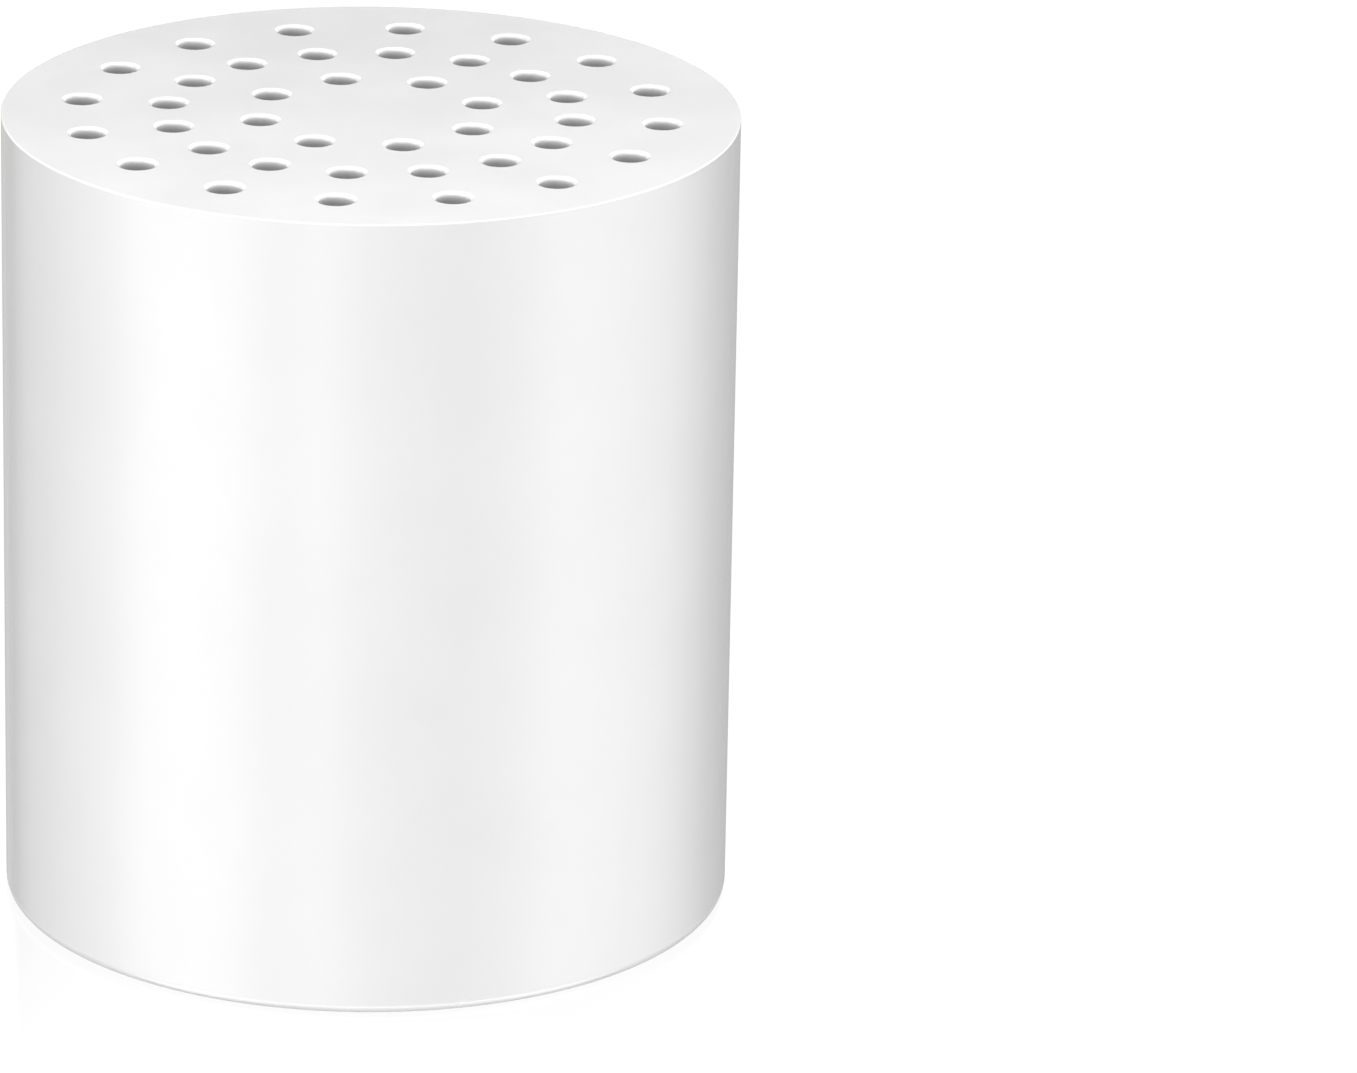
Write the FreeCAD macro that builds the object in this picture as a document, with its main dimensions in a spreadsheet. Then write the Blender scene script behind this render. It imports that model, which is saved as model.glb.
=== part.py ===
import FreeCAD, Part

import math
import os

import Sketcher

# Replaceable drum cartridge for an inline water-filter housing.
#
# The cartridge stands on its closure ring. The origin is the centre of that ring's sealing face, +Z runs along the
# drum's axis to the perforated end, and all lengths are millimetres.
#
# From the sealing face up: closure ring with a spigot, woven end screen, support cross, sediment pad, then the media
# stack inside the cup, and the perforated plate, which is one moulding with the cup's wall.

os.makedirs("parts", exist_ok=True)

doc = FreeCAD.newDocument("filter_cartridge")

# ---------------------------------------------------------------- driving dimensions
sheet = doc.addObject("Spreadsheet::Sheet", "Sheet")
sheet.Label = "dimensions"

DIMENSIONS = [
    # the drum
    ("drum_radius", 35.0),
    ("drum_height", 78.0),
    ("seam_height", 1.2),
    ("plate_thickness", 2.5),
    ("bore_radius", 32.6),
    ("socket_radius", 33.1),
    ("socket_depth_z", 9.4),
    ("lead_in", 0.4),
    ("rim_round", 0.2),
    ("inner_corner", 1.0),
    # snap groove in the socket and the bead on the spigot
    ("snap_z_low", 4.6),
    ("snap_z_high", 6.2),
    ("snap_flank", 0.35),
    ("groove_radius", 33.5),
    ("bead_radius", 33.4),
    ("bead_gap", 0.1),
    # flow holes: two rings of sixteen and one of eight
    ("hole_radius", 1.6),
    ("hole_mouth", 0.38),
    ("ring_outer", 27.65),
    ("ring_middle", 19.35),
    ("ring_inner", 10.9),
    ("hole_phase", 15.5),
    ("many_holes", 16),
    ("few_holes", 8),
    # closure ring
    ("edge_round", 1.1),
    ("opening_radius", 29.5),
    ("opening_round", 0.9),
    ("rebate_z", 2.8),
    ("rebate_radius", 31.0),
    ("spigot_radius", 33.0),
    ("spigot_top", 9.2),
    ("spigot_taper", 0.5),
    ("catch_radius", 30.75),
    ("catch_low", 6.3),
    ("catch_mid", 6.55),
    ("catch_high", 6.95),
    # end screen and support cross
    ("screen_radius", 30.9),
    ("screen_thickness", 0.44),
    ("cross_z", 3.24),
    ("cross_rim_radius", 30.9),
    ("cross_rim_inner", 29.5),
    ("cross_rim_height", 3.0),
    ("arm_half_width", 2.4),
    ("arm_depth", 2.6),
    ("arm_reach", 30.2),
    ("arm_round", 0.5),
    ("arm_corner", 2.0),
    # media stack: each level is the underside of the next layer
    ("sediment_z", 6.3),
    ("sediment_radius", 30.6),
    ("sediment_height", 2.9),
    ("disc_radius", 32.45),
    ("media_radius", 32.5),
    ("divider_thickness", 0.4),
    ("sediment_screen_z", 9.2),
    ("sulfite_z", 9.6),
    ("sulfite_height", 11.0),
    ("sulfite_felt_z", 20.6),
    ("sulfite_felt_height", 1.2),
    ("copper_z", 21.8),
    ("copper_height", 7.5),
    ("copper_screen_z", 29.3),
    ("carbon_z", 29.7),
    ("carbon_height", 13.0),
    ("carbon_felt_z", 42.7),
    ("carbon_felt_height", 1.8),
    ("ball_radius", 2.45),
    ("ball_pitch", 5.15),
    ("ball_limit", 32.4),
    ("tourmaline_z", 44.5),
    ("lower_ball_screen_z", 49.5),
    ("mineral_z", 49.9),
    ("middle_ball_screen_z", 54.9),
    ("alkaline_z", 55.3),
    ("upper_ball_screen_z", 60.3),
    ("zeolite_z", 60.7),
    ("zeolite_height", 10.2),
    ("polishing_z", 70.9),
    ("polishing_height", 4.16),
    ("polishing_round", 0.6),
    ("hole_screen_z", 75.06),
    ("hole_screen_radius", 31.5),
]
for row, (alias, value) in enumerate(DIMENSIONS, start=1):
    sheet.set("A%d" % row, alias)
    sheet.set("B%d" % row, repr(value))
    sheet.setAlias("B%d" % row, alias)
doc.recompute()


def size(alias):
    return float(getattr(sheet, alias))


nodes = {}
Z = FreeCAD.Vector(0, 0, 1)


# ---------------------------------------------------------------- helpers for sketched bodies
def new_body(name):
    body = doc.addObject("PartDesign::Body", name)
    body.Label = name
    body.Placement = FreeCAD.Placement(FreeCAD.Vector(0, 0, 0), FreeCAD.Rotation())
    nodes[name] = body
    return body


def plane_of(body, role):
    return [f for f in body.Origin.OriginFeatures if f.Role == role][0]


def new_sketch(body, name, role, offset=None):
    sketch = body.newObject("Sketcher::SketchObject", name)
    sketch.AttachmentSupport = [(plane_of(body, role), "")]
    sketch.MapMode = "FlatFace"
    if offset is not None:
        sketch.setExpression("AttachmentOffset.Base.z", offset)
    return sketch


def value_of(expression):
    """The number that an expression of sheet aliases gives, for the sketch's first guess."""
    names = {alias: size(alias) for alias, _ in DIMENSIONS}
    total, sign, token = 0.0, 1.0, ""
    for part in expression.replace("-", " - ").replace("+", " + ").split():
        if part == "+":
            sign = 1.0
        elif part == "-":
            sign = -1.0
        else:
            total += sign * (names[part] if part in names else float(part))
    return total


def bound(expression):
    """The same expression with each alias written as a reference to the sheet."""
    out = []
    for part in expression.replace("-", " - ").replace("+", " + ").split():
        out.append("Sheet." + part if part in dict(DIMENSIONS) else part)
    return " ".join(out)


def profile(sketch, points):
    """A closed polygon in the sketch. Each point is (across, up), written in the sheet's aliases; 0 holds it on the axis."""
    count = len(points)
    xy = [(value_of(a), value_of(b)) for a, b in points]
    for i in range(count):
        a, b = xy[i], xy[(i + 1) % count]
        sketch.addGeometry(
            Part.LineSegment(
                FreeCAD.Vector(a[0], a[1], 0), FreeCAD.Vector(b[0], b[1], 0)
            ),
            False,
        )
    for i in range(count):
        sketch.addConstraint(Sketcher.Constraint("Coincident", i, 2, (i + 1) % count, 1))
    for i, (a, b) in enumerate(points):
        for kind, text, axis, tag in (
            ("DistanceX", a, -2, "across_%d"),
            ("DistanceY", b, -1, "up_%d"),
        ):
            if text == "0":
                sketch.addConstraint(
                    Sketcher.Constraint("PointOnObject", i, 1, axis)
                )
                continue
            index = sketch.addConstraint(
                Sketcher.Constraint(kind, -1, 1, i, 1, value_of(text))
            )
            sketch.renameConstraint(index, tag % i)
            sketch.setExpression("Constraints." + tag % i, bound(text))


def revolve(body, name, points):
    sketch = new_sketch(body, name + "_profile", "XZ_Plane")
    profile(sketch, points)
    turn = body.newObject("PartDesign::Revolution", name)
    turn.Profile = sketch
    turn.ReferenceAxis = (sketch, ["V_Axis"])
    turn.Angle = 360.0
    doc.recompute()
    return turn


def circle(sketch, across, up, radius, tag):
    index = sketch.addGeometry(
        Part.Circle(
            FreeCAD.Vector(value_of(across), value_of(up), 0), Z, value_of(radius)
        ),
        False,
    )
    at = sketch.addConstraint(
        Sketcher.Constraint("Radius", index, value_of(radius))
    )
    sketch.renameConstraint(at, tag + "_radius")
    sketch.setExpression("Constraints." + tag + "_radius", bound(radius))
    if up == "0":
        sketch.addConstraint(Sketcher.Constraint("PointOnObject", index, 3, -1))
    if across == "0":
        sketch.addConstraint(Sketcher.Constraint("PointOnObject", index, 3, -2))
    else:
        at = sketch.addConstraint(
            Sketcher.Constraint("DistanceX", -1, 1, index, 3, value_of(across))
        )
        sketch.renameConstraint(at, tag + "_across")
        sketch.setExpression("Constraints." + tag + "_across", bound(across))


def rounded(body, name, base, edges, alias):
    """A fillet on the edges that the test picks, with its radius from the sheet."""
    picked = [
        "Edge%d" % (i + 1) for i, e in enumerate(base.Shape.Edges) if edges(e)
    ]
    if not picked:
        raise RuntimeError("no edge for " + name)
    fillet = body.newObject("PartDesign::Fillet", name)
    fillet.Base = (base, picked)
    fillet.setExpression("Radius", "Sheet." + alias)
    doc.recompute()
    return fillet


def ring_edge(radius, height, tol=1e-3):
    """Picks whole circles about the drum's axis of that radius at that height."""

    def test(edge):
        curve = edge.Curve
        return (
            isinstance(curve, Part.Circle)
            and abs(curve.Radius - radius) < tol
            and abs(curve.Center.z - height) < tol
            and math.hypot(curve.Center.x, curve.Center.y) < tol
        )

    return test


# ---------------------------------------------------------------- housing cup: side wall and perforated plate
cup = new_body("housing_cup")
wall = revolve(
    cup,
    "cup_wall",
    [
        ("0", "drum_height"),
        ("0", "drum_height - plate_thickness"),
        ("bore_radius", "drum_height - plate_thickness"),
        ("bore_radius", "socket_depth_z"),
        ("socket_radius", "socket_depth_z"),
        ("socket_radius", "snap_z_high + snap_flank"),
        ("groove_radius", "snap_z_high"),
        ("groove_radius", "snap_z_low"),
        ("socket_radius", "snap_z_low - snap_flank"),
        ("socket_radius", "seam_height + lead_in + lead_in"),
        ("socket_radius + lead_in", "seam_height"),
        ("drum_radius", "seam_height"),
        ("drum_radius", "drum_height"),
    ],
)
solid_volume = wall.Shape.Volume

rim = rounded(
    cup,
    "cup_rim_round",
    wall,
    ring_edge(size("drum_radius"), size("drum_height")),
    "rim_round",
)
corner = rounded(
    cup,
    "cup_inner_corner",
    rim,
    ring_edge(size("bore_radius"), size("drum_height") - size("plate_thickness")),
    "inner_corner",
)

# One flow hole of each ring is a pocket from the plate's outer face, and a polar pattern repeats it. The sketch plane
# is turned by the pattern's phase.
previous = corner
for tag, radius, count in (
    ("outer", "ring_outer", "many_holes"),
    ("middle", "ring_middle", "many_holes"),
    ("inner", "ring_inner", "few_holes"),
):
    before = previous.Shape.Volume
    sketch = new_sketch(cup, "flow_hole_%s_sketch" % tag, "XY_Plane", "Sheet.drum_height")
    sketch.AttachmentOffset = FreeCAD.Placement(
        FreeCAD.Vector(0, 0, size("drum_height")),
        FreeCAD.Rotation(Z, size("hole_phase")),
    )
    sketch.setExpression("AttachmentOffset.Base.z", "Sheet.drum_height")
    sketch.setExpression("AttachmentOffset.Rotation.Angle", "Sheet.hole_phase")
    circle(sketch, radius, "0", "hole_radius", "hole")
    pocket = cup.newObject("PartDesign::Pocket", "flow_hole_%s" % tag)
    pocket.Profile = sketch
    pocket.Type = 0
    pocket.setExpression("Length", "Sheet.plate_thickness + 1")
    doc.recompute()
    pattern = cup.newObject("PartDesign::PolarPattern", "flow_holes_%s" % tag)
    pattern.Originals = [pocket]
    pattern.Axis = (
        [f for f in cup.Origin.OriginFeatures if f.Role == "Z_Axis"][0],
        [""],
    )
    pattern.Angle = 360.0
    pattern.setExpression("Occurrences", "Sheet." + count)
    cup.Tip = pattern
    doc.recompute()
    each = math.pi * size("hole_radius") ** 2 * size("plate_thickness")
    cut = before - pattern.Shape.Volume
    if abs(cut - each * size(count)) > 0.02 * each * size(count):
        raise RuntimeError("flow holes %s cut %.3f" % (tag, cut))
    previous = pattern

# The mouths of the flow holes are moulded with a rounded edge.
def mouth(edge):
    curve = edge.Curve
    return (
        isinstance(curve, Part.Circle)
        and abs(curve.Radius - size("hole_radius")) < 1e-3
        and abs(curve.Center.z - size("drum_height")) < 1e-3
    )


mouths = rounded(cup, "flow_hole_mouths", previous, mouth, "hole_mouth")
cup.Tip = mouths

# ---------------------------------------------------------------- closure ring: sealing face, rebate and snap spigot
ring = new_body("closure_ring")
ring_base = revolve(
    ring,
    "ring_section",
    [
        ("opening_radius", "0"),
        ("drum_radius", "0"),
        ("drum_radius", "seam_height"),
        ("spigot_radius", "seam_height"),
        ("spigot_radius", "snap_z_low + bead_gap"),
        ("bead_radius", "snap_z_low + bead_gap + snap_flank"),
        ("bead_radius", "snap_z_high - bead_gap - snap_flank"),
        ("spigot_radius", "snap_z_high - bead_gap"),
        ("spigot_radius", "spigot_top - spigot_taper"),
        ("spigot_radius - spigot_taper", "spigot_top"),
        ("rebate_radius", "spigot_top"),
        ("rebate_radius", "catch_high"),
        ("catch_radius", "catch_mid"),
        ("rebate_radius", "catch_low"),
        ("rebate_radius", "rebate_z"),
        ("opening_radius", "rebate_z"),
    ],
)
ring_edge_round = rounded(
    ring, "ring_edge_round", ring_base, ring_edge(size("drum_radius"), 0.0), "edge_round"
)
ring_opening_round = rounded(
    ring,
    "ring_opening_round",
    ring_edge_round,
    ring_edge(size("opening_radius"), 0.0),
    "opening_round",
)
ring.Tip = ring_opening_round

# ---------------------------------------------------------------- support cross: rim and four arms
cross = new_body("screen_support_cross")
rim_sketch = new_sketch(cross, "cross_rim_sketch", "XY_Plane", "Sheet.cross_z")
circle(rim_sketch, "0", "0", "cross_rim_radius", "outer")
circle(rim_sketch, "0", "0", "cross_rim_inner", "inner")
cross_rim = cross.newObject("PartDesign::Pad", "cross_rim")
cross_rim.Profile = rim_sketch
cross_rim.setExpression("Length", "Sheet.cross_rim_height")
doc.recompute()


def bar_sketch(name, half_x, half_y):
    """A rectangle centred on the axis, half_x by half_y each way."""
    sketch = new_sketch(cross, name, "XY_Plane", "Sheet.cross_z")
    ax, ay = value_of(half_x), value_of(half_y)
    corners = [(-ax, -ay), (ax, -ay), (ax, ay), (-ax, ay)]
    for i in range(4):
        a, b = corners[i], corners[(i + 1) % 4]
        sketch.addGeometry(
            Part.LineSegment(
                FreeCAD.Vector(a[0], a[1], 0), FreeCAD.Vector(b[0], b[1], 0)
            ),
            False,
        )
    for i in range(4):
        sketch.addConstraint(Sketcher.Constraint("Coincident", i, 2, (i + 1) % 4, 1))
    for i, kind in enumerate(("Horizontal", "Vertical", "Horizontal", "Vertical")):
        sketch.addConstraint(Sketcher.Constraint(kind, i))
    sketch.addConstraint(Sketcher.Constraint("Symmetric", 0, 1, 2, 1, -1, 1))
    at = sketch.addConstraint(Sketcher.Constraint("DistanceX", -1, 1, 1, 1, ax))
    sketch.renameConstraint(at, "half_x")
    sketch.setExpression("Constraints.half_x", bound(half_x))
    at = sketch.addConstraint(Sketcher.Constraint("DistanceY", -1, 1, 2, 1, ay))
    sketch.renameConstraint(at, "half_y")
    sketch.setExpression("Constraints.half_y", bound(half_y))
    return sketch


for name, half_x, half_y in (
    ("cross_bar_x", "arm_reach", "arm_half_width"),
    ("cross_bar_y", "arm_half_width", "arm_reach"),
):
    sketch = bar_sketch(name + "_sketch", half_x, half_y)
    bar = cross.newObject("PartDesign::Pad", name)
    bar.Profile = sketch
    bar.setExpression("Length", "Sheet.arm_depth")
    doc.recompute()

def arm_top(edge):
    """The long straight edges of the arms on the media side."""
    if not isinstance(edge.Curve, Part.Line):
        return False
    a, b = edge.Vertexes[0].Point, edge.Vertexes[-1].Point
    top = size("cross_z") + size("arm_depth")
    return edge.Length > 10 and abs(a.z - top) < 1e-3 and abs(b.z - top) < 1e-3


def arm_corner(edge):
    """The four upright corners where the arms meet."""
    if not isinstance(edge.Curve, Part.Line):
        return False
    a, b = edge.Vertexes[0].Point, edge.Vertexes[-1].Point
    half = size("arm_half_width")
    return all(
        abs(abs(v.x) - half) < 1e-3 and abs(abs(v.y) - half) < 1e-3 for v in (a, b)
    )


cross_corners = rounded(cross, "cross_corner_round", bar, arm_corner, "arm_corner")
cross_arms = rounded(cross, "cross_arm_round", cross_corners, arm_top, "arm_round")
cross.Tip = cross_arms


# ---------------------------------------------------------------- screens, felts and beds
def disc(name, radius, height, level):
    """A flat round layer of the stack, as a Part cylinder."""
    item = doc.addObject("Part::Cylinder", name)
    item.Label = name
    item.setExpression("Radius", "Sheet." + radius)
    item.setExpression("Height", "Sheet." + height)
    item.Angle = 360.0
    item.Placement = FreeCAD.Placement(
        FreeCAD.Vector(0, 0, size(level)), FreeCAD.Rotation()
    )
    item.setExpression("Placement.Base.z", "Sheet." + level)
    nodes[name] = item
    return item


def pad(name, radius, height, level, round_alias):
    """A felt pad: a cylinder with softened edges."""
    core = doc.addObject("Part::Cylinder", name + "_core")
    core.setExpression("Radius", "Sheet." + radius)
    core.setExpression("Height", "Sheet." + height)
    doc.recompute()
    soft = doc.addObject("Part::Fillet", name)
    soft.Label = name
    soft.Base = core
    edges = []
    for i, e in enumerate(core.Shape.Edges):
        if isinstance(e.Curve, Part.Circle):
            edges.append((i + 1, size(round_alias), size(round_alias)))
    soft.Edges = edges
    soft.Placement = FreeCAD.Placement(
        FreeCAD.Vector(0, 0, size(level)), FreeCAD.Rotation()
    )
    soft.setExpression("Placement.Base.z", "Sheet." + level)
    nodes[name] = soft
    return soft


disc("end_screen", "screen_radius", "screen_thickness", "rebate_z")
pad("sediment_pad", "sediment_radius", "sediment_height", "sediment_z", "polishing_round")
disc("sediment_divider_screen", "disc_radius", "divider_thickness", "sediment_screen_z")
disc("calcium_sulfite_bed", "media_radius", "sulfite_height", "sulfite_z")
disc("sulfite_divider_felt", "disc_radius", "sulfite_felt_height", "sulfite_felt_z")
disc("copper_zinc_bed", "media_radius", "copper_height", "copper_z")
disc("copper_zinc_divider_screen", "disc_radius", "divider_thickness", "copper_screen_z")
disc("coconut_carbon_bed", "media_radius", "carbon_height", "carbon_z")
disc("carbon_divider_felt", "disc_radius", "carbon_felt_height", "carbon_felt_z")
disc("lower_ball_screen", "disc_radius", "divider_thickness", "lower_ball_screen_z")
disc("middle_ball_screen", "disc_radius", "divider_thickness", "middle_ball_screen_z")
disc("upper_ball_screen", "disc_radius", "divider_thickness", "upper_ball_screen_z")
disc("zeolite_bed", "media_radius", "zeolite_height", "zeolite_z")
pad("polishing_pad", "disc_radius", "polishing_height", "polishing_z", "polishing_round")
disc("hole_screen", "hole_screen_radius", "screen_thickness", "hole_screen_z")


# ---------------------------------------------------------------- ball layers
def ball_layer(name, level, turn):
    """One close-packed layer of separate balls between two screens. The rows are turned from layer to layer."""
    radius, pitch = size("ball_radius"), size("ball_pitch")
    limit = size("ball_limit") - radius
    middle = size(level) + radius + 0.05
    spheres = []
    rows = int(limit / (pitch * math.sqrt(3) / 2)) + 1
    columns = int(limit / pitch) + 2
    for j in range(-rows, rows + 1):
        for i in range(-columns, columns + 1):
            x = (i + 0.5 * (j % 2)) * pitch
            y = j * pitch * math.sqrt(3) / 2
            if math.hypot(x, y) > limit:
                continue
            c, s = math.cos(math.radians(turn)), math.sin(math.radians(turn))
            spheres.append(
                Part.makeSphere(
                    radius, FreeCAD.Vector(x * c - y * s, x * s + y * c, 0)
                )
            )
    item = doc.addObject("Part::Feature", name)
    item.Label = name
    item.Shape = Part.makeCompound(spheres)
    item.Placement = FreeCAD.Placement(
        FreeCAD.Vector(0, 0, middle), FreeCAD.Rotation()
    )
    nodes[name] = item
    return len(spheres)


balls = {
    "tourmaline_balls": ball_layer("tourmaline_balls", "tourmaline_z", 0.0),
    "mineral_balls": ball_layer("mineral_balls", "mineral_z", 17.0),
    "alkaline_balls": ball_layer("alkaline_balls", "alkaline_z", 41.0),
}

# ---------------------------------------------------------------- checks, then one STEP file for each piece
doc.recompute()
for item in doc.Objects:
    if "Invalid" in item.State or "Error" in item.State:
        raise RuntimeError("%s is %s" % (item.Name, item.State))
for name, item in nodes.items():
    shape = item.Shape
    if shape.isNull() or not shape.isValid():
        raise RuntimeError(name + " has no valid shape")
    wanted = balls.get(name, 1)
    if len(shape.Solids) != wanted:
        raise RuntimeError("%s has %d solids" % (name, len(shape.Solids)))

for name, item in nodes.items():
    item.Shape.exportStep("parts/%s.step" % name)
    box = item.Shape.BoundBox
    print(
        "%-28s solids %3d  volume %10.2f  z %6.2f to %6.2f  r %6.2f"
        % (name, len(item.Shape.Solids), item.Shape.Volume, box.ZMin, box.ZMax, box.XMax)
    )
print("%d nodes" % len(nodes))
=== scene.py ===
import math
import random

import bmesh
import bpy
from mathutils import Matrix, Vector
from mathutils.geometry import delaunay_2d_cdt


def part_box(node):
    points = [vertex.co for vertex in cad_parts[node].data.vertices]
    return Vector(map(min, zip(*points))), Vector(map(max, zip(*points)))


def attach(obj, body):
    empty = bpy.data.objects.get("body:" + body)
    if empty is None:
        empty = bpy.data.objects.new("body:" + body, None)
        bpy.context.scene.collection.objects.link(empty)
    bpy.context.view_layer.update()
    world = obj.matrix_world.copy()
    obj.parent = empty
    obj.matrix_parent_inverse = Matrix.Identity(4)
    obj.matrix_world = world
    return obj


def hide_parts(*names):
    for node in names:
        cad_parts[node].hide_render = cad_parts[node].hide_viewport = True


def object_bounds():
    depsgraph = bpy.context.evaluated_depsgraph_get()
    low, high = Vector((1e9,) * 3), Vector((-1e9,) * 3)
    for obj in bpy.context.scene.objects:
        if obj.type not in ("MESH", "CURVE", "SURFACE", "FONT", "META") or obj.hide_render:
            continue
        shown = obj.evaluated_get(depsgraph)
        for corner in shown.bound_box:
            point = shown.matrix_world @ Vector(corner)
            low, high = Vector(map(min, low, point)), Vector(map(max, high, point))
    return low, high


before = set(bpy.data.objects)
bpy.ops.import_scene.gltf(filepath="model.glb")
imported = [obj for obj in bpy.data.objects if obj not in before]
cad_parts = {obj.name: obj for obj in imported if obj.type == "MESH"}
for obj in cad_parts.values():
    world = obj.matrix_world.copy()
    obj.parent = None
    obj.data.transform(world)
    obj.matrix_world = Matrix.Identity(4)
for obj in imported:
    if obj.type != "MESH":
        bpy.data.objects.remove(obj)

CAD_LO, CAD_HI = [Vector(v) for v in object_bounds()]
MM = 0.001
# painted shade: the dark grey painted on the walls of the flow holes in place of the shadow inside them
BORE_PAINTED_SHADE = (0.36, 0.36, 0.36)


# ---------------------------------------------------------------- node helpers
class Tree:
    """A short way to write a node tree."""

    def __init__(self, tree):
        self.t = tree
        tree.nodes.clear()

    def add(self, kind, **settings):
        n = self.t.nodes.new(kind)
        for k, v in settings.items():
            setattr(n, k, v)
        return n

    def link(self, a, b):
        self.t.links.new(a, b)

    def put(self, socket, value):
        if isinstance(value, bpy.types.NodeSocket):
            self.link(value, socket)
        elif isinstance(value, (tuple, list)) and len(value) == 3 and socket.type == "RGBA":
            socket.default_value = (*value, 1.0)
        else:
            socket.default_value = value

    def math(self, operation, a, b=None, c=None, clamp=False):
        n = self.add("ShaderNodeMath", operation=operation, use_clamp=clamp)
        for i, v in enumerate((a, b, c)):
            if v is not None:
                self.put(n.inputs[i], v)
        return n.outputs[0]

    def span(self, value, lo, hi, to_lo=0.0, to_hi=1.0, smooth=True):
        n = self.add("ShaderNodeMapRange")
        n.interpolation_type = "SMOOTHSTEP" if smooth else "LINEAR"
        n.clamp = True
        for i, v in enumerate((value, lo, hi, to_lo, to_hi)):
            self.put(n.inputs[i], v)
        return n.outputs[0]

    def ramp(self, value, stops, interpolation="LINEAR"):
        n = self.add("ShaderNodeValToRGB")
        r = n.color_ramp
        r.interpolation = interpolation
        while len(r.elements) > 1:
            r.elements.remove(r.elements[-1])
        r.elements[0].position = stops[0][0]
        first = stops[0][1]
        r.elements[0].color = (*first, 1) if isinstance(first, tuple) else (first, first, first, 1)
        for at, c in stops[1:]:
            e = r.elements.new(at)
            e.color = (*c, 1) if isinstance(c, tuple) else (c, c, c, 1)
        self.put(n.inputs[0], value)
        return n.outputs[0]

    def noise(self, scale, detail=2.0, rough=0.5, distortion=0.0, vector=None):
        n = self.add("ShaderNodeTexNoise")
        n.inputs["Scale"].default_value = scale
        n.inputs["Detail"].default_value = detail
        n.inputs["Roughness"].default_value = rough
        n.inputs["Distortion"].default_value = distortion
        if vector is not None:
            self.link(vector, n.inputs["Vector"])
        return n.outputs[0]

    def cells(self, scale, vector=None, feature="F1", output="Distance", randomness=1.0):
        n = self.add("ShaderNodeTexVoronoi", feature=feature)
        n.inputs["Scale"].default_value = scale
        n.inputs["Randomness"].default_value = randomness
        if vector is not None:
            self.link(vector, n.inputs["Vector"])
        return n.outputs[output]

    def mix(self, factor, a, b):
        n = self.add("ShaderNodeMix", data_type="RGBA")
        self.put(n.inputs[0], factor)
        self.put(n.inputs[6], a)
        self.put(n.inputs[7], b)
        return n.outputs[2]

    def bump(self, height, strength, distance, normal=None):
        n = self.add("ShaderNodeBump")
        n.inputs["Strength"].default_value = strength
        n.inputs["Distance"].default_value = distance
        self.link(height, n.inputs["Height"])
        if normal is not None:
            self.link(normal, n.inputs["Normal"])
        return n.outputs[0]

    def coords(self):
        return self.add("ShaderNodeTexCoord").outputs["Object"]


def principled(name):
    mat = bpy.data.materials.new(name)
    mat.use_nodes = True
    t = Tree(mat.node_tree)
    out = t.add("ShaderNodeOutputMaterial")
    p = t.add("ShaderNodeBsdfPrincipled")
    t.link(p.outputs[0], out.inputs["Surface"])
    return mat, t, p


def plastic(name, colour, rough, coat, coat_rough, peel=1.0, tint=0.985, painted_bore_shade=False):
    """Injection-moulded white plastic: a polished skin with faint flow waviness, fine orange peel and slightly uneven
    gloss, a touch of depth in the colour, and dust-dull patches that only show in the reflections. When switched on
    for the cup, the walls of the flow holes below their mouths get painted shade, a dark grey that stands in for the
    shadow down in the holes, and are made rougher."""
    mat, t, p = principled(name)
    at = t.coords()
    wide = t.noise(38.0, 2.0, 0.5, 0.4, at)
    fine = t.noise(900.0, 3.0, 0.55, 0.0, at)
    cloud = t.noise(75.0, 4.0, 0.6, 0.2, at)
    low = tuple(c * tint for c in colour)
    base = t.mix(t.span(cloud, 0.35, 0.65), low, colour)
    gloss = t.math("ADD", t.span(cloud, 0.3, 0.75, rough * 0.85, rough * 1.2), t.span(fine, 0.3, 0.7, 0.0, 0.015))
    if painted_bore_shade:
        # painted shade: from just under their rounded mouths down, the walls of the flow holes are painted dark grey in
        # place of the shadow inside the holes, and made rougher
        sep = t.add("ShaderNodeSeparateXYZ")
        t.link(at, sep.inputs[0])
        away = t.math("SQRT", t.math("ADD", t.math("POWER", sep.outputs[0], 2.0), t.math("POWER", sep.outputs[1], 2.0)))
        top = CAD_HI.z
        deep = t.span(sep.outputs[2], top - 1.0 * MM, top - 0.04 * MM, 1.0, 0.0)
        inside = t.math("MULTIPLY", deep, t.span(away, 30.4 * MM, 31.0 * MM, 1.0, 0.0))
        base = t.mix(inside, base, BORE_PAINTED_SHADE)
        gloss = t.math("ADD", gloss, t.math("MULTIPLY", inside, 0.4))
    t.link(base, p.inputs["Base Color"])
    t.link(gloss, p.inputs["Roughness"])
    n = t.bump(wide, 0.10 * peel, 0.0006)
    n = t.bump(fine, 0.05 * peel, 0.00006, n)
    t.link(n, p.inputs["Normal"])
    p.inputs["IOR"].default_value = 1.58
    p.inputs["Coat Weight"].default_value = coat
    p.inputs["Coat Roughness"].default_value = coat_rough
    p.inputs["Coat IOR"].default_value = 1.5
    return mat


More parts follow.
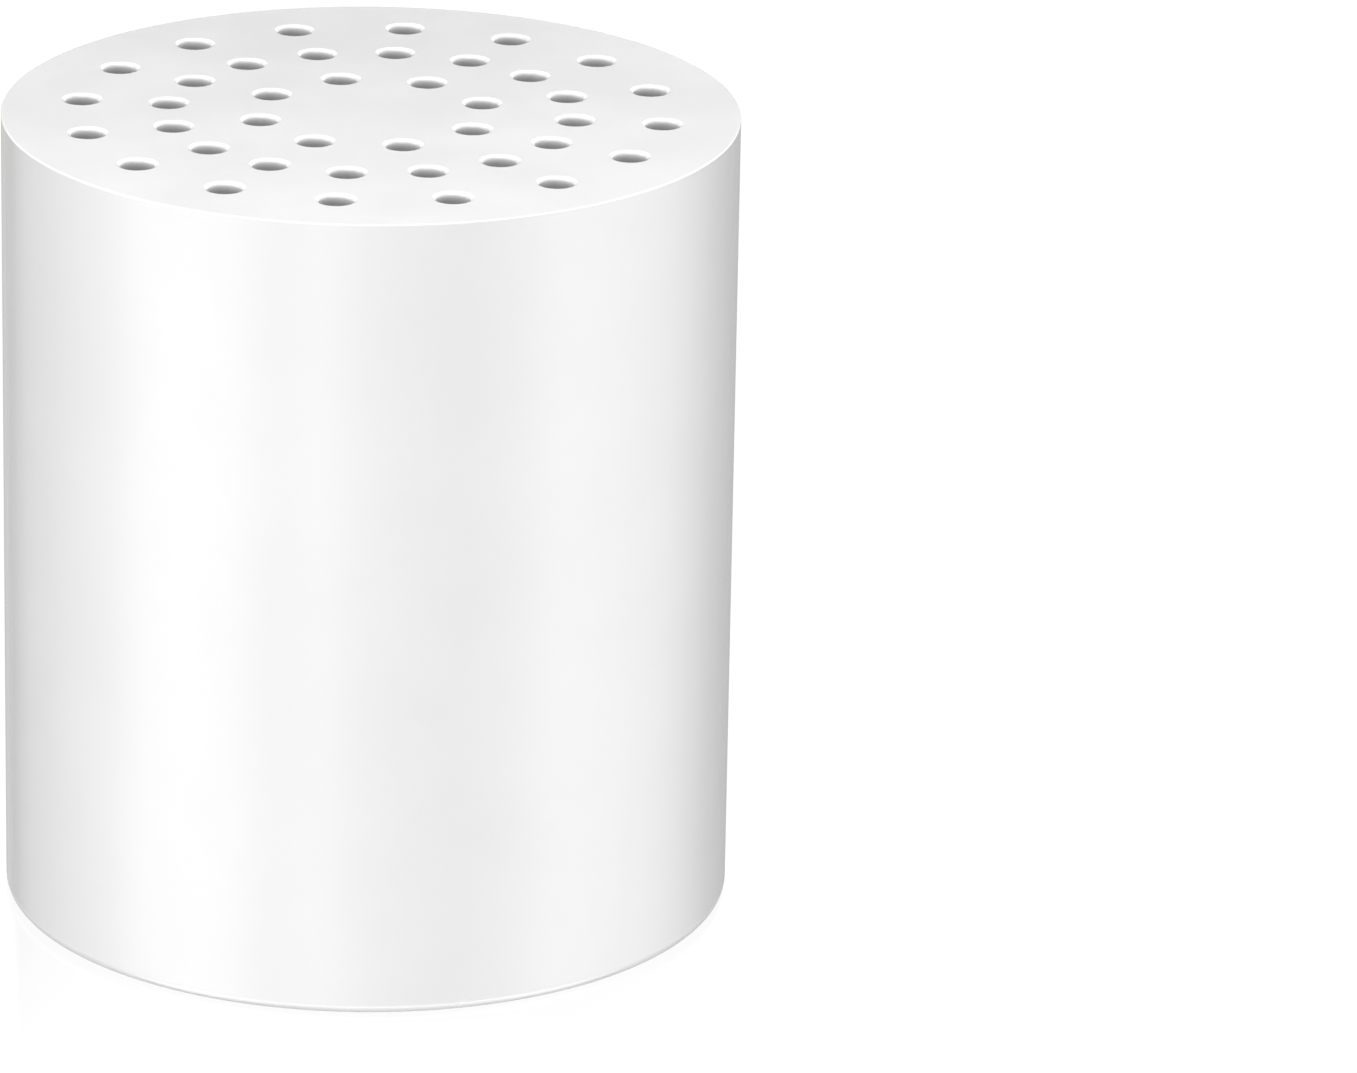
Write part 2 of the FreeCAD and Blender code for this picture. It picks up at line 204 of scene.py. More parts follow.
def felt(name, colour):
    mat, t, p = principled(name)
    at = t.coords()
    lay = t.add("ShaderNodeMapping")
    lay.inputs["Scale"].default_value = (1.0, 1.0, 3.0)
    t.link(at, lay.inputs["Vector"])
    fibre = t.noise(1500.0, 6.0, 0.7, 2.5, lay.outputs[0])
    clump = t.noise(260.0, 4.0, 0.6, 1.0, lay.outputs[0])
    # painted shade: small darker spots in place of the shadow in needle holes
    needle_hole_shade = t.cells(700.0, at)
    base = t.mix(t.span(clump, 0.3, 0.7), tuple(c * 0.9 for c in colour), colour)
    base = t.mix(t.span(needle_hole_shade, 0.0, 0.35), tuple(c * 0.82 for c in colour), base)
    t.link(base, p.inputs["Base Color"])
    t.link(t.span(fibre, 0.3, 0.7, 0.82, 0.98), p.inputs["Roughness"])
    n = t.bump(clump, 0.6, 0.0005)
    n = t.bump(fibre, 0.7, 0.00015, n)
    t.link(n, p.inputs["Normal"])
    p.inputs["Sheen Weight"].default_value = 0.35
    p.inputs["Sheen Roughness"].default_value = 0.5
    return mat


def steel_wire(name, colour, rough=0.34):
    """Drawn stainless wire: fine marks along it and a little darker oxide in random patches."""
    mat, t, p = principled(name)
    at = t.coords()
    draw = t.noise(2600.0, 3.0, 0.6, 0.0, at)
    patch = t.noise(120.0, 3.0, 0.55, 0.3, at)
    t.link(t.mix(t.span(patch, 0.3, 0.7), tuple(c * 0.86 for c in colour), colour), p.inputs["Base Color"])
    t.link(t.math("ADD", t.span(patch, 0.3, 0.7, rough * 0.85, rough * 1.15), t.span(draw, 0.3, 0.7, 0.0, 0.05)), p.inputs["Roughness"])
    t.link(t.bump(draw, 0.25, 0.00002), p.inputs["Normal"])
    p.inputs["Metallic"].default_value = 1.0
    return mat


def steel_cloth(name, colour, pitch):
    """A flat disc of fine stainless cloth: over-and-under wires as relief, with painted shade, near black, in the
    openings.
    """
    mat, t, p = principled(name)
    at = t.coords()
    sep = t.add("ShaderNodeSeparateXYZ")
    t.link(at, sep.inputs[0])
    k = math.pi / pitch
    a = t.math("MULTIPLY", sep.outputs[0], k)
    b = t.math("MULTIPLY", sep.outputs[1], k)
    across = t.math("ABSOLUTE", t.math("SINE", a))
    along = t.math("ABSOLUTE", t.math("SINE", b))
    over = t.math("MULTIPLY", t.math("SINE", a), t.math("SINE", b))
    height = t.math("ADD", t.math("MAXIMUM", across, along), t.math("MULTIPLY", over, 0.3))
    # painted shade: the openings between the wires are painted near black in place of the shadow seen through the cloth
    fade = t.span(t.math("MINIMUM", t.math("SUBTRACT", 1.0, across), t.math("SUBTRACT", 1.0, along)), 0.25, 0.7)
    grime = t.noise(180.0, 3.0, 0.5, 0.2, at)
    base = t.mix(t.span(grime, 0.3, 0.7), tuple(c * 0.85 for c in colour), colour)
    t.link(t.mix(fade, base, (0.05, 0.05, 0.05)), p.inputs["Base Color"])
    t.link(t.span(grime, 0.3, 0.7, 0.3, 0.42), p.inputs["Roughness"])
    t.link(t.bump(height, 0.8, 0.0001), p.inputs["Normal"])
    p.inputs["Metallic"].default_value = 1.0
    return mat


def mineral(name, dark, light, rough, grain=1400.0, speck=None):
    """A fired or crushed mineral: mottled colour with pits and fine grain."""
    mat, t, p = principled(name)
    at = t.coords()
    mottled = t.noise(420.0, 5.0, 0.65, 0.6, at)
    fine = t.noise(grain * 2.0, 4.0, 0.6, 0.0, at)
    pits = t.cells(grain, at)
    base = t.mix(t.span(mottled, 0.3, 0.7), dark, light)
    if speck is not None:
        base = t.mix(t.span(t.cells(900.0, at), 0.0, 0.16, 1.0, 0.0), base, speck)
    t.link(base, p.inputs["Base Color"])
    t.link(t.span(fine, 0.3, 0.7, rough * 0.85, min(1.0, rough * 1.12)), p.inputs["Roughness"])
    n = t.bump(mottled, 0.5, 0.0002)
    n = t.bump(pits, 0.35, 0.00008, n)
    t.link(n, p.inputs["Normal"])
    return mat


def alloy(name):
    """Copper-zinc granules: brassy metal, tarnished in patches."""
    mat, t, p = principled(name)
    at = t.coords()
    tarnish = t.noise(500.0, 4.0, 0.6, 0.5, at)
    fine = t.noise(2800.0, 3.0, 0.6, 0.0, at)
    t.link(t.ramp(tarnish, [(0.3, (0.36, 0.21, 0.09)), (0.5, (0.72, 0.50, 0.20)), (0.72, (0.83, 0.66, 0.34))]), p.inputs["Base Color"])
    t.link(t.span(tarnish, 0.3, 0.7, 0.5, 0.28), p.inputs["Roughness"])
    t.link(t.bump(fine, 0.4, 0.00006), p.inputs["Normal"])
    p.inputs["Metallic"].default_value = 0.9
    return mat


# the cup's white, with painted shade on the walls of its flow holes
WHITE = plastic("gloss_white", (0.885, 0.885, 0.885), 0.17, 1.0, 0.06, painted_bore_shade=True)
RING_WHITE = plastic("ring_white", (0.875, 0.875, 0.875), 0.24, 0.6, 0.14, 1.4)
CROSS_WHITE = plastic("cross_white", (0.84, 0.84, 0.83), 0.38, 0.15, 0.2, 2.0, 0.96)
WIRE = steel_wire("stainless_wire", (0.62, 0.615, 0.60))
CLOTH = steel_cloth("stainless_cloth", (0.60, 0.595, 0.58), 0.00042)
FELT = felt("white_felt", (0.90, 0.90, 0.885))
SULFITE = mineral("calcium_sulfite", (0.66, 0.63, 0.56), (0.90, 0.885, 0.83), 0.85)
CARBON = mineral("coconut_carbon", (0.012, 0.012, 0.013), (0.055, 0.054, 0.055), 0.62)
ZEOLITE = mineral("zeolite", (0.50, 0.46, 0.36), (0.80, 0.77, 0.67), 0.88)
ALLOY = alloy("copper_zinc")
TOURMALINE = mineral("tourmaline_ceramic", (0.075, 0.06, 0.055), (0.25, 0.205, 0.18), 0.7, 1800.0, (0.42, 0.38, 0.34))
MINERAL = mineral("mineral_ceramic", (0.46, 0.27, 0.16), (0.72, 0.52, 0.36), 0.72, 1800.0, (0.84, 0.72, 0.58))
ALKALINE = mineral("alkaline_ceramic", (0.70, 0.66, 0.58), (0.90, 0.875, 0.81), 0.7, 1800.0, (0.58, 0.52, 0.44))


# ---------------------------------------------------------------- carried CAD nodes
def dress(node, material):
    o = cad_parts[node]
    for s in o.material_slots:
        s.link = "OBJECT"
        s.material = material
    if not o.material_slots:
        o.data.materials.append(material)
    return o


for node, material in {
    "screen_support_cross": CROSS_WHITE,
    "sediment_divider_screen": CLOTH,
    "copper_zinc_divider_screen": CLOTH,
    "lower_ball_screen": CLOTH,
    "middle_ball_screen": CLOTH,
    "upper_ball_screen": CLOTH,
    "sulfite_divider_felt": FELT,
    "carbon_divider_felt": FELT,
}.items():
    dress(node, material)


# ---------------------------------------------------------------- mesh helpers
def finish_mesh(name, bm, material, smooth=True):
    bmesh.ops.recalc_face_normals(bm, faces=bm.faces)
    mesh = bpy.data.meshes.new(name)
    bm.to_mesh(mesh)
    bm.free()
    for p in mesh.polygons:
        p.use_smooth = smooth
    mesh.materials.append(material)
    o = bpy.data.objects.new(name, mesh)
    bpy.context.scene.collection.objects.link(o)
    return o


def mesh_from(name, verts, faces, material, smooth=True):
    mesh = bpy.data.meshes.new(name)
    mesh.from_pydata(verts, [], faces)
    mesh.update()
    for p in mesh.polygons:
        p.use_smooth = smooth
    mesh.materials.append(material)
    o = bpy.data.objects.new(name, mesh)
    bpy.context.scene.collection.objects.link(o)
    return o


def placed(piece, node):
    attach(piece, "root")
    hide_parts(node)
    return piece


# ---------------------------------------------------------------- the two mouldings
def arc(x, z, r, start, end, steps):
    """Points of a round from one angle to another, in degrees, both ends included."""
    out = []
    for i in range(steps + 1):
        a = math.radians(start + (end - start) * i / steps)
        out.append((x + r * math.cos(a), z + r * math.sin(a)))
    return out


def turned(bm, profile, around, closed=False):
    """A turned surface through the profile's points, in millimetres. Returns the rows of vertices."""
    rows = []
    for r, z in profile:
        rows.append([bm.verts.new((r * MM * math.cos(math.tau * j / around), r * MM * math.sin(math.tau * j / around), z * MM)) for j in range(around)])
    n = len(rows)
    for i in range(n if closed else n - 1):
        a, b = rows[i], rows[(i + 1) % n]
        for j in range(around):
            k = (j + 1) % around
            bm.faces.new((a[j], a[k], b[k], b[j]))
    return rows


def sharpen(bm, degrees):
    limit = math.radians(degrees)
    for e in bm.edges:
        if len(e.link_faces) == 2 and e.calc_face_angle(0.0) > limit:
            e.smooth = False


HOLE = 1.6
MOUTH = 0.38
HOLES = [(ring, 15.5 + 360.0 * k / n) for ring, n in ((27.65, 16), (19.35, 16), (10.9, 8)) for k in range(n)]
PLATE = 2.5
SEAM = 1.2


def perforated_disc(bm, outer, holes, z):
    """Fills the flat between an outer row of vertices and rows round each hole."""
    loops = [outer] + holes
    verts = [v for loop in loops for v in loop]
    edges, base = [], 0
    for loop in loops:
        n = len(loop)
        edges.extend((base + i, base + (i + 1) % n) for i in range(n))
        base += n
    flat = [Vector((v.co.x / MM, v.co.y / MM)) for v in verts]
    spots, _, tris, came_from, _, _ = delaunay_2d_cdt(flat, edges, [], 0, 1e-6)
    centres = [Vector((r * math.cos(math.radians(a)), r * math.sin(math.radians(a)))) for r, a in HOLES]
    for tri in tris:
        ids = [came_from[i][0] for i in tri]
        if any(all((flat[i] - c).length < 2.2 for i in ids) for c in centres):
            continue
        bm.faces.new([verts[i] for i in ids])


def cup_moulding(name):
    """The cup: polished outer wall with a fine round at the rim, a plate with forty flow holes whose mouths are
    rounded, and inside it the bore, the corner fillet and the stepped socket with its snap groove."""
    top = CAD_HI.z / MM
    under = top - PLATE
    around, hole_around = 320, 36
    bm = bmesh.new()
    outside = [(34.8, top)] + arc(34.9, top - 0.1, 0.1, 90, 0, 6) + [(35.0, top - 0.25), (35.0, 60), (35.0, 40), (35.0, 20), (35.0, SEAM + 0.3), (35.0, SEAM)]
    inside = [(33.5, SEAM), (33.1, 2.0), (33.1, 4.25), (33.5, 4.6), (33.5, 6.2), (33.1, 6.55), (33.1, 9.4), (32.6, 9.4), (32.6, 30), (32.6, 50), (32.6, under - 1.2)]
    inside += arc(31.6, under - 1.0, 1.0, 0, 90, 6) + [(31.4, under)]
    rows = turned(bm, outside + inside, around)
    upper, lower = [], []
    for ring, angle in HOLES:
        x, y = ring * math.cos(math.radians(angle)), ring * math.sin(math.radians(angle))
        steps = [(HOLE + MOUTH + 0.07, top)] + [(HOLE + MOUTH + p[0], top - MOUTH + p[1]) for p in arc(0, 0, MOUTH, 90, 180, 7)]
        steps += [(HOLE, top - MOUTH - 0.1), (HOLE, top - 1.2), (HOLE, under)]
        mouth = []
        for r, z in steps:
            mouth.append([bm.verts.new(((x + r * math.cos(math.tau * j / hole_around)) * MM, (y + r * math.sin(math.tau * j / hole_around)) * MM, z * MM)) for j in range(hole_around)])
        for a, b in zip(mouth, mouth[1:]):
            for j in range(hole_around):
                k = (j + 1) % hole_around
                bm.faces.new((a[j], a[k], b[k], b[j]))
        upper.append(mouth[0])
        lower.append(mouth[-1])
    perforated_disc(bm, rows[0], upper, top)
    perforated_disc(bm, rows[-1], lower, under)
    bmesh.ops.recalc_face_normals(bm, faces=bm.faces)
    sharpen(bm, 25)
    return finish_mesh(name, bm, WHITE)


def ring_moulding(name):
    """The closure ring: the flat sealing land with its rounded outer edge and rounded opening, the rebate that the
    screen and cross sit in with its retaining catch, and the spigot with its snap bead."""
    profile = arc(30.4, 0.9, 0.9, 180, 270, 10) + [(30.55, 0.0), (32.2, 0.0), (33.75, 0.0)] + arc(33.9, 1.1, 1.1, 270, 360, 12)
    profile += [(35.0, SEAM), (33.0, SEAM), (33.0, 4.7), (33.4, 5.05), (33.4, 5.75), (33.0, 6.1), (33.0, 8.7), (32.5, 9.2), (31.0, 9.2)]
    profile += [(31.0, 6.95), (30.75, 6.55), (31.0, 6.3), (31.0, 2.8), (29.5, 2.8), (29.5, 1.1)]
    bm = bmesh.new()
    turned(bm, profile, 320, closed=True)
    bmesh.ops.recalc_face_normals(bm, faces=bm.faces)
    sharpen(bm, 25)
    return finish_mesh(name, bm, RING_WHITE)


placed(cup_moulding("cup_shell"), "housing_cup")
placed(ring_moulding("ring_shell"), "closure_ring")


# ---------------------------------------------------------------- woven wire cloth
def woven_disc(name, node, material, pitch, angle, sides, seed):
    """Plain-woven wire cloth cut to a disc. Each wire is a tube that rides over one crossing wire and under the next;
    its ends are cut a little unevenly, and the cloth has the small waver of real weaving."""
    rng = random.Random(seed)
    lo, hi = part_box(node)
    radius = (hi.x - lo.x) / 2
    wire = (hi.z - lo.z) / 4 * 0.985
    middle = (hi.z + lo.z) / 2
    c, s = math.cos(angle), math.sin(angle)
    verts, faces = [], []
    count = int(radius / pitch)
    waver = [rng.uniform(0, math.tau) for _ in range(8)]
    for family in (0, 1):
        for k in range(-count, count + 1):
            across = k * pitch
            if radius - abs(across) < pitch * 0.6:
                continue
            reach = math.sqrt(radius * radius - across * across) - wire
            a = -reach + rng.uniform(0.0, 0.14) * MM
            b = reach - rng.uniform(0.0, 0.14) * MM
            steps = [a]
            i = math.ceil(a / (pitch / 2) + 0.2)
            while i * pitch / 2 < b - pitch * 0.1:
                steps.append(i * pitch / 2)
                i += 1
            steps.append(b)
            start = len(verts)
            for u in steps:
                drift = 0.018 * MM * (
                    math.sin(u * 310 + waver[family * 4] + k * 0.21)
                    + math.sin(u * 173 + waver[family * 4 + 1] + k * 0.047)
                )
                z = middle + wire * math.cos(math.pi * (u / pitch + k + family))
                for j in range(sides):
                    t = math.tau * (j + 0.5) / sides
                    v = across + drift + wire * math.cos(t)
                    w = z + wire * math.sin(t)
                    x, y = (u, v) if family == 0 else (v, u)
                    verts.append((x * c - y * s, x * s + y * c, w))
            n = len(steps)
            for i in range(n - 1):
                for j in range(sides):
                    p = start + i * sides + j
                    q = start + i * sides + (j + 1) % sides
                    quad = (p, q, q + sides, p + sides)
                    faces.append(quad if family == 0 else quad[::-1])
            cap = tuple(start + j for j in range(sides))
            end = tuple(start + (n - 1) * sides + j for j in range(sides))
            faces.append(cap[::-1] if family == 0 else cap)
            faces.append(end if family == 0 else end[::-1])
    return mesh_from(name, verts, faces, material)


end_cloth = placed(
    woven_disc("end_screen_cloth", "end_screen", WIRE, 0.56 * MM, math.radians(22), 5, 11), "end_screen"
)
hole_cloth = placed(
    woven_disc("hole_screen_cloth", "hole_screen", WIRE, 0.74 * MM, math.radians(8), 4, 12), "hole_screen"
)


# ---------------------------------------------------------------- felt pads
def felt_pad(name, node, seed, rings=40, around=160):
    """A needled felt disc: a soft rounded edge, hollows where the needles went in and a slightly fuzzy rim. It stays
    inside the CAD solid."""
    rng = random.Random(seed)
    lo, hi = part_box(node)
    radius = (hi.x - lo.x) / 2 - 0.05 * MM
    half = (hi.z - lo.z) / 2
    mid = (hi.z + lo.z) / 2
    phases = [(rng.uniform(150, 900), rng.uniform(150, 900), rng.uniform(0, 6.28)) for _ in range(14)]

    def dimple(x, y):
        return sum(math.sin(a * x + b * y + c) for a, b, c in phases) / len(phases)

    path = []
    soft = min(half * 0.7, 1.2 * MM)
    for i in range(rings + 1):
        path.append(((radius - soft) * i / rings, 1.0, 0.0))
    for i in range(1, 8):
        t = math.pi / 2 * i / 8
        path.append((radius - soft + soft * math.sin(t), 1.0, 1 - math.cos(t)))
    profile = [(r, half - d * soft) for r, _, d in path]
    profile += [(radius, (half - soft) * (1 - i / 2)) for i in range(0, 3)]
    profile += [(r, -z) for r, z in profile[-4::-1]]
    verts, faces = [], []
    for r, z in profile:
        if r == 0:
            verts.append((0, 0, mid + z * 0.97))
            continue
        for j in range(around):
            t = math.tau * j / around
            x, y = r * math.cos(t), r * math.sin(t)
            d = dimple(x, y)
            rr = r * (1 - 0.004 * (1 + math.sin(t * 23 + seed) * math.sin(t * 57)) * (r / radius) ** 8)
            zz = z * (0.965 + 0.03 * d)
            verts.append((rr * math.cos(t), rr * math.sin(t), mid + zz))
    last = len(profile) - 1
    first_ring = 1
    for j in range(around):
        faces.append((0, first_ring + j, first_ring + (j + 1) % around))
    for i in range(1, last - 1):
        a = first_ring + (i - 1) * around
        b = a + around
        for j in range(around):
            k = (j + 1) % around
            faces.append((a + j, b + j, b + k, a + k))
    a = first_ring + (last - 2) * around
    end = len(verts) - 1
    for j in range(around):
        faces.append((a + j, end, a + (j + 1) % around))
    return mesh_from(name, verts, faces, FELT)


for name, node, seed in (("sediment_felt", "sediment_pad", 3), ("polishing_felt", "polishing_pad", 7)):
    pad = placed(felt_pad(name, node, seed), node)


# ---------------------------------------------------------------- granules and balls
def granule_shape(rng, angular):
    """A closed pebble on an icosahedron, pushed about so that no two are alike."""
    g = (1 + 5 ** 0.5) / 2
    points = [(-1, g, 0), (1, g, 0), (-1, -g, 0), (1, -g, 0), (0, -1, g), (0, 1, g), (0, -1, -g), (0, 1, -g), (g, 0, -1), (g, 0, 1), (-g, 0, -1), (-g, 0, 1)]
    n = math.sqrt(1 + g * g)
    squash = (rng.uniform(0.8, 1.0), rng.uniform(0.65, 0.95), rng.uniform(0.55, 0.85))
    out = []
    for p in points:
        k = 1 + rng.uniform(-angular, angular * 0.4)
        out.append(Vector((p[0] / n * squash[0] * k, p[1] / n * squash[1] * k, p[2] / n * squash[2] * k)))
    return out


ICO = [(0, 11, 5), (0, 5, 1), (0, 1, 7), (0, 7, 10), (0, 10, 11), (1, 5, 9), (5, 11, 4), (11, 10, 2), (10, 7, 6), (7, 1, 8), (3, 9, 4), (3, 4, 2), (3, 2, 6), (3, 6, 8), (3, 8, 9), (4, 9, 5), (2, 4, 11), (6, 2, 10), (8, 6, 7), (9, 8, 1)]


def granule_bed(name, node, material, grain, angular, seed, smooth=False):
    """Loose granules packed into the CAD bed. The ones that nothing outside can see, deep in the middle, are left out."""
    rng = random.Random(seed)
    lo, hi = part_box(node)
    radius = (hi.x - lo.x) / 2
    half = grain / 2
    layers = max(1, int((hi.z - lo.z) / (grain * 0.86)))
    rise = (hi.z - lo.z - grain) / max(1, layers - 1)
    verts, faces = [], []
    step = grain * 0.93
    for k in range(layers):
        z = lo.z + half + k * rise
        rows = int(radius / (step * 0.866)) + 1
        for j in range(-rows, rows + 1):
            for i in range(-rows - 2, rows + 3):
                x = (i + 0.5 * ((j + k) % 2)) * step + rng.uniform(-0.1, 0.1) * grain
                y = (j + (k % 2) / 3) * step * 0.866 + rng.uniform(-0.1, 0.1) * grain
                d = math.hypot(x, y)
                size = half * rng.uniform(0.86, 1.0)
                if d > radius - size * 0.98:
                    if d > radius - size * 0.98 + step * 0.45:
                        continue
                    x, y = x / d * (radius - size), y / d * (radius - size)
                if 0 < k < layers - 1 and d < radius - grain * 2.2:
                    continue
                spin = Matrix.Rotation(rng.uniform(0, 6.28), 3, Vector((rng.uniform(-1, 1), rng.uniform(-1, 1), rng.uniform(-1, 1) + 0.01)).normalized())
                dz = rng.uniform(-0.06, 0.06) * grain if 0 < k < layers - 1 else 0.0
                base = len(verts)
                for p in granule_shape(rng, angular):
                    q = spin @ p * size
                    verts.append((x + q.x, y + q.y, z + dz + q.z))
                faces.extend((base + a, base + b, base + c) for a, b, c in ICO)
    return mesh_from(name, verts, faces, material, smooth)


for name, node, slot, material, grain, angular, seed in (
    ("calcium_sulfite_granules", "calcium_sulfite_bed", "calcium_sulfite", SULFITE, 2.4, 0.12, 21),
    ("copper_zinc_granules", "copper_zinc_bed", "copper_zinc", ALLOY, 1.9, 0.22, 22),
    ("coconut_carbon_granules", "coconut_carbon_bed", "coconut_carbon", CARBON, 2.5, 0.25, 23),
    ("zeolite_granules", "zeolite_bed", "zeolite", ZEOLITE, 2.5, 0.2, 24),
):
    placed(granule_bed(name, node, material, grain * MM, angular, seed), node)


def ball_positions(node):
    """The centres of a CAD ball layer's separate balls, read from its mesh."""
    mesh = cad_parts[node].data
    parent = list(range(len(mesh.vertices)))

    def find(a):
        while parent[a] != a:
            parent[a] = parent[parent[a]]
            a = parent[a]
        return a

    spots = {}
    for v in mesh.vertices:
        key = (round(v.co.x, 7), round(v.co.y, 7), round(v.co.z, 7))
        if key in spots:
            parent[find(v.index)] = find(spots[key])
        else:
            spots[key] = v.index
    for e in mesh.edges:
        a, b = find(e.vertices[0]), find(e.vertices[1])
        if a != b:
            parent[a] = b
    boxes = {}
    for v in mesh.vertices:
        r = find(v.index)
        b = boxes.setdefault(r, [list(v.co), list(v.co)])
        for i in range(3):
            b[0][i] = min(b[0][i], v.co[i])
            b[1][i] = max(b[1][i], v.co[i])
    out = []
    for lo, hi in boxes.values():
        size = max(hi[i] - lo[i] for i in range(3)) / 2
        if size > 1.5 * MM:
            out.append((Vector([(lo[i] + hi[i]) / 2 for i in range(3)]), size))
    out.sort(key=lambda c: (round(c[0].x, 5), round(c[0].y, 5)))
    return out


def ball_layer(name, node, material, seed):
    """Rolled ceramic balls, one for each CAD ball, each slightly out of round."""
    rng = random.Random(seed)
    bm = bmesh.new()
    bmesh.ops.create_icosphere(bm, subdivisions=3, radius=1.0)
    bm.verts.ensure_lookup_table()
    unit = [v.co.copy() for v in bm.verts]
    tris = [tuple(v.index for v in f.verts) for f in bm.faces]
    bm.free()
    verts, faces = [], []
    for centre, radius in ball_positions(node):
        spin = Matrix.Rotation(rng.uniform(0, 6.28), 3, Vector((rng.uniform(-1, 1), rng.uniform(-1, 1), 1)).normalized())
        a, b, c = (rng.uniform(0.955, 0.995) for _ in range(3))
        f = [rng.uniform(2.0, 4.0) for _ in range(3)]
        base = len(verts)
        for u in unit:
            k = 1 - 0.006 * (1 + math.sin(f[0] * u.x + f[1] * u.y) * math.sin(f[2] * u.z + 1))
            q = spin @ Vector((u.x * a, u.y * b, u.z * c)) * (radius * k)
            verts.append(tuple(centre + q))
        faces.extend((base + i, base + j, base + k) for i, j, k in tris)
    return mesh_from(name, verts, faces, material)


for name, node, slot, material, seed in (
    ("tourmaline_ball_layer", "tourmaline_balls", "tourmaline_ceramic", TOURMALINE, 31),
    ("mineral_ball_layer", "mineral_balls", "mineral_ceramic", MINERAL, 32),
    ("alkaline_ball_layer", "alkaline_balls", "alkaline_ceramic", ALKALINE, 33),
):
    placed(ball_layer(name, node, material, seed), node)


# ---------------------------------------------------------------- floor
def floor():
    """A pale lit sweep: white of its own, with a thin gloss that mirrors the drum's foot and fades away from it."""
    bpy.ops.mesh.primitive_plane_add(size=60.0, location=(0, 0, 0))
    o = bpy.context.object
    o.name = "studio_floor"
    mat = bpy.data.materials.new("floor_white")
    mat.use_nodes = True
    t = Tree(mat.node_tree)
    out = t.add("ShaderNodeOutputMaterial")
    glow = t.add("ShaderNodeEmission")
    glow.inputs["Color"].default_value = (1, 1, 1, 1)
    glow.inputs["Strength"].default_value = 1.02
    gloss = t.add("ShaderNodeBsdfGlossy")
    gloss.inputs["Color"].default_value = (1, 1, 1, 1)
    gloss.inputs["Roughness"].default_value = 0.09
    sep = t.add("ShaderNodeSeparateXYZ")
    t.link(t.coords(), sep.inputs[0])
    away = t.math("SQRT", t.math("ADD", t.math("POWER", sep.outputs[0], 2.0), t.math("POWER", sep.outputs[1], 2.0)))
    fade = t.math("EXPONENT", t.math("DIVIDE", t.math("SUBTRACT", 0.035, away), 0.014))
    share = t.math("MULTIPLY", t.math("MINIMUM", fade, 1.0), 0.17)
    mix = t.add("ShaderNodeMixShader")
    t.link(share, mix.inputs[0])
    t.link(glow.outputs[0], mix.inputs[1])
    t.link(gloss.outputs[0], mix.inputs[2])
    t.link(mix.outputs[0], out.inputs["Surface"])
    o.data.materials.append(mat)
    o.visible_diffuse = False
    o.visible_glossy = False
    o.visible_shadow = False
    o.visible_transmission = False
    return o


floor()


# ---------------------------------------------------------------- light
# Brightness of the studio by compass bearing round the object: every 15 degrees at and below its height, and every
# 30 degrees above it. The first value is straight behind, the middle one straight in front.
LOW = [0.42, 0.58, 0.29, 0.27, 0.07, 0.0, 0.09, 0.79, 1.02, 0.94, 0.39, 0.82, 0.25, 0.0, 0.0, 0.52, 1.25, 1.25, 1.04, 0.77, 0.39, 0.24, 0.34, 0.47]
HIGH = [0.0, 1.3, 1.07, 2.04, 1.1, 0.95, 1.64, 1.0, 0.0, 0.71, 1.46, 1.25]
REAR = [(18.0, 0.0), (21.0, 0.82), (24.0, 2.34), (27.0, 3.89), (30.0, 4.0), (33.0, 0.0)]
CEILING, TABLE = 1.93, 2.1


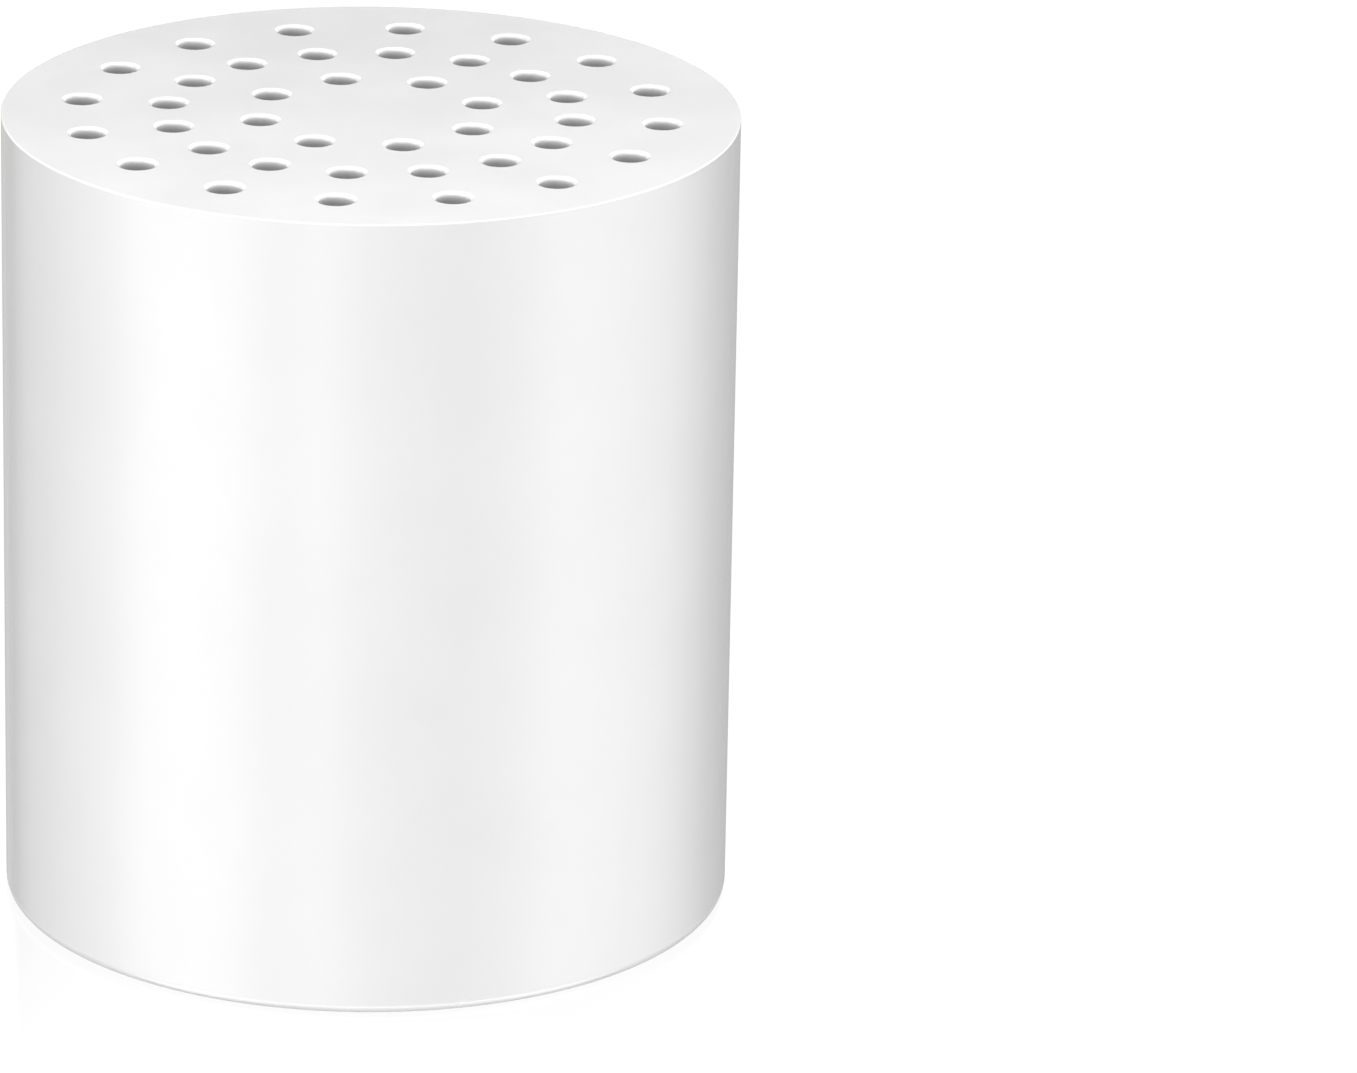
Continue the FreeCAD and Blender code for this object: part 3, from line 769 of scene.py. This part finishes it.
def studio():
    """Soft studio light: two wide softboxes left and right of the camera with a darker gap between them, a white
    ceiling, a lit table in front of the foot and a pale haze round the back. It is set by direction round the object,
    so it stands still while a camera moves."""
    world = bpy.data.worlds.new("studio")
    bpy.context.scene.world = world
    world.use_nodes = True
    t = Tree(world.node_tree)
    out = t.add("ShaderNodeOutputWorld")
    sep = t.add("ShaderNodeSeparateXYZ")
    t.link(t.add("ShaderNodeTexCoord").outputs["Generated"], sep.inputs[0])
    bearing = t.math("ARCTAN2", sep.outputs[0], t.math("MULTIPLY", sep.outputs[1], -1.0))
    turn = t.math("ADD", t.math("DIVIDE", bearing, math.tau), 0.5)
    rise = t.math("DEGREES", t.math("ARCSINE", sep.outputs[2]))

    def round_the_object(values):
        n = len(values)
        stops = [(i / n, values[i % n] / 4) for i in range(n + 1)]
        return t.math("MULTIPLY", t.ramp(turn, stops), 4.0)

    def band(a, b, c, d):
        return t.math("MULTIPLY", t.span(rise, a, b), t.span(rise, c, d, 1.0, 0.0))

    low = t.math("MULTIPLY", round_the_object(LOW), band(-56.0, -44.0, 0.4, 1.6))
    side = t.math("DEGREES", bearing)
    corner = t.math("MULTIPLY", t.span(side, -170.0, -160.0), t.span(side, -108.0, -98.0, 1.0, 0.0))
    dim = t.math("MULTIPLY", t.math("MULTIPLY", corner, band(11.0, 15.0, 35.0, 39.0)), -0.97)
    high = t.math("MULTIPLY", round_the_object(HIGH), band(0.4, 1.6, 46.0, 60.0))
    high = t.math("MULTIPLY", high, t.math("ADD", dim, 1.0))
    ceiling = t.span(rise, 46.0, 60.0, 0.0, CEILING)
    off = t.math("ABSOLUTE", t.math("DEGREES", bearing))
    table = t.math("MULTIPLY", t.span(off, 85.0, 115.0, TABLE, 0.0), band(-68.0, -63.0, -42.0, -37.0))
    sky = t.math("MULTIPLY", t.ramp(t.math("DIVIDE", rise, 90.0), [(e / 90.0, v / 4) for e, v in REAR]), 4.0)
    haze = t.math("MULTIPLY", t.span(off, 145.0, 163.0), sky)
    light = low
    for part in (high, ceiling, table, haze):
        light = t.math("ADD", light, part)
    shown = t.add("ShaderNodeLightPath").outputs["Is Camera Ray"]
    bg = t.add("ShaderNodeBackground")
    t.link(t.mix(shown, light, (1.02, 1.02, 1.02)), bg.inputs["Color"])
    t.link(bg.outputs[0], out.inputs["Surface"])

    data = bpy.data.lights.new("overhead_strip", "AREA")
    data.shape = "RECTANGLE"
    data.size, data.size_y = 0.30, 0.10
    data.spread = math.radians(70)
    data.energy = 0.045
    strip = bpy.data.objects.new("overhead_strip", data)
    strip.location = (0, -0.10, 0.26)
    strip.visible_camera = False
    bpy.context.scene.collection.objects.link(strip)


studio()


# ---------------------------------------------------------------- camera
def camera():
    x, y, z, yaw, pitch, roll, f = -5.11064, -818.77277, 330.6548, -0.04269, 0.3458, 0.01951, 9035.43608
    cy, sy = math.cos(yaw), math.sin(yaw)
    cp, sp = math.cos(pitch), math.sin(pitch)
    forward = Vector((-sy * cp, cy * cp, -sp))
    right = Vector((cy, sy, 0))
    up = right.cross(forward)
    cr, sr = math.cos(roll), math.sin(roll)
    side, top = right * cr + up * sr, up * cr - right * sr
    data = bpy.data.cameras.new("camera")
    data.sensor_width = 36.0
    data.lens = f / 1357 * 36.0
    data.clip_start, data.clip_end = 0.01, 100.0
    o = bpy.data.objects.new("camera", data)
    bpy.context.scene.collection.objects.link(o)
    m = Matrix.Identity(4)
    for i in range(3):
        m[i][0], m[i][1], m[i][2] = side[i], top[i], -forward[i]
    m[0][3], m[1][3], m[2][3] = x * MM, y * MM, z * MM
    o.matrix_world = m
    bpy.context.scene.camera = o


camera()
bpy.context.scene.view_settings.view_transform = "Standard"
bpy.context.scene.view_settings.look = "None"

bpy.context.view_layer.update()
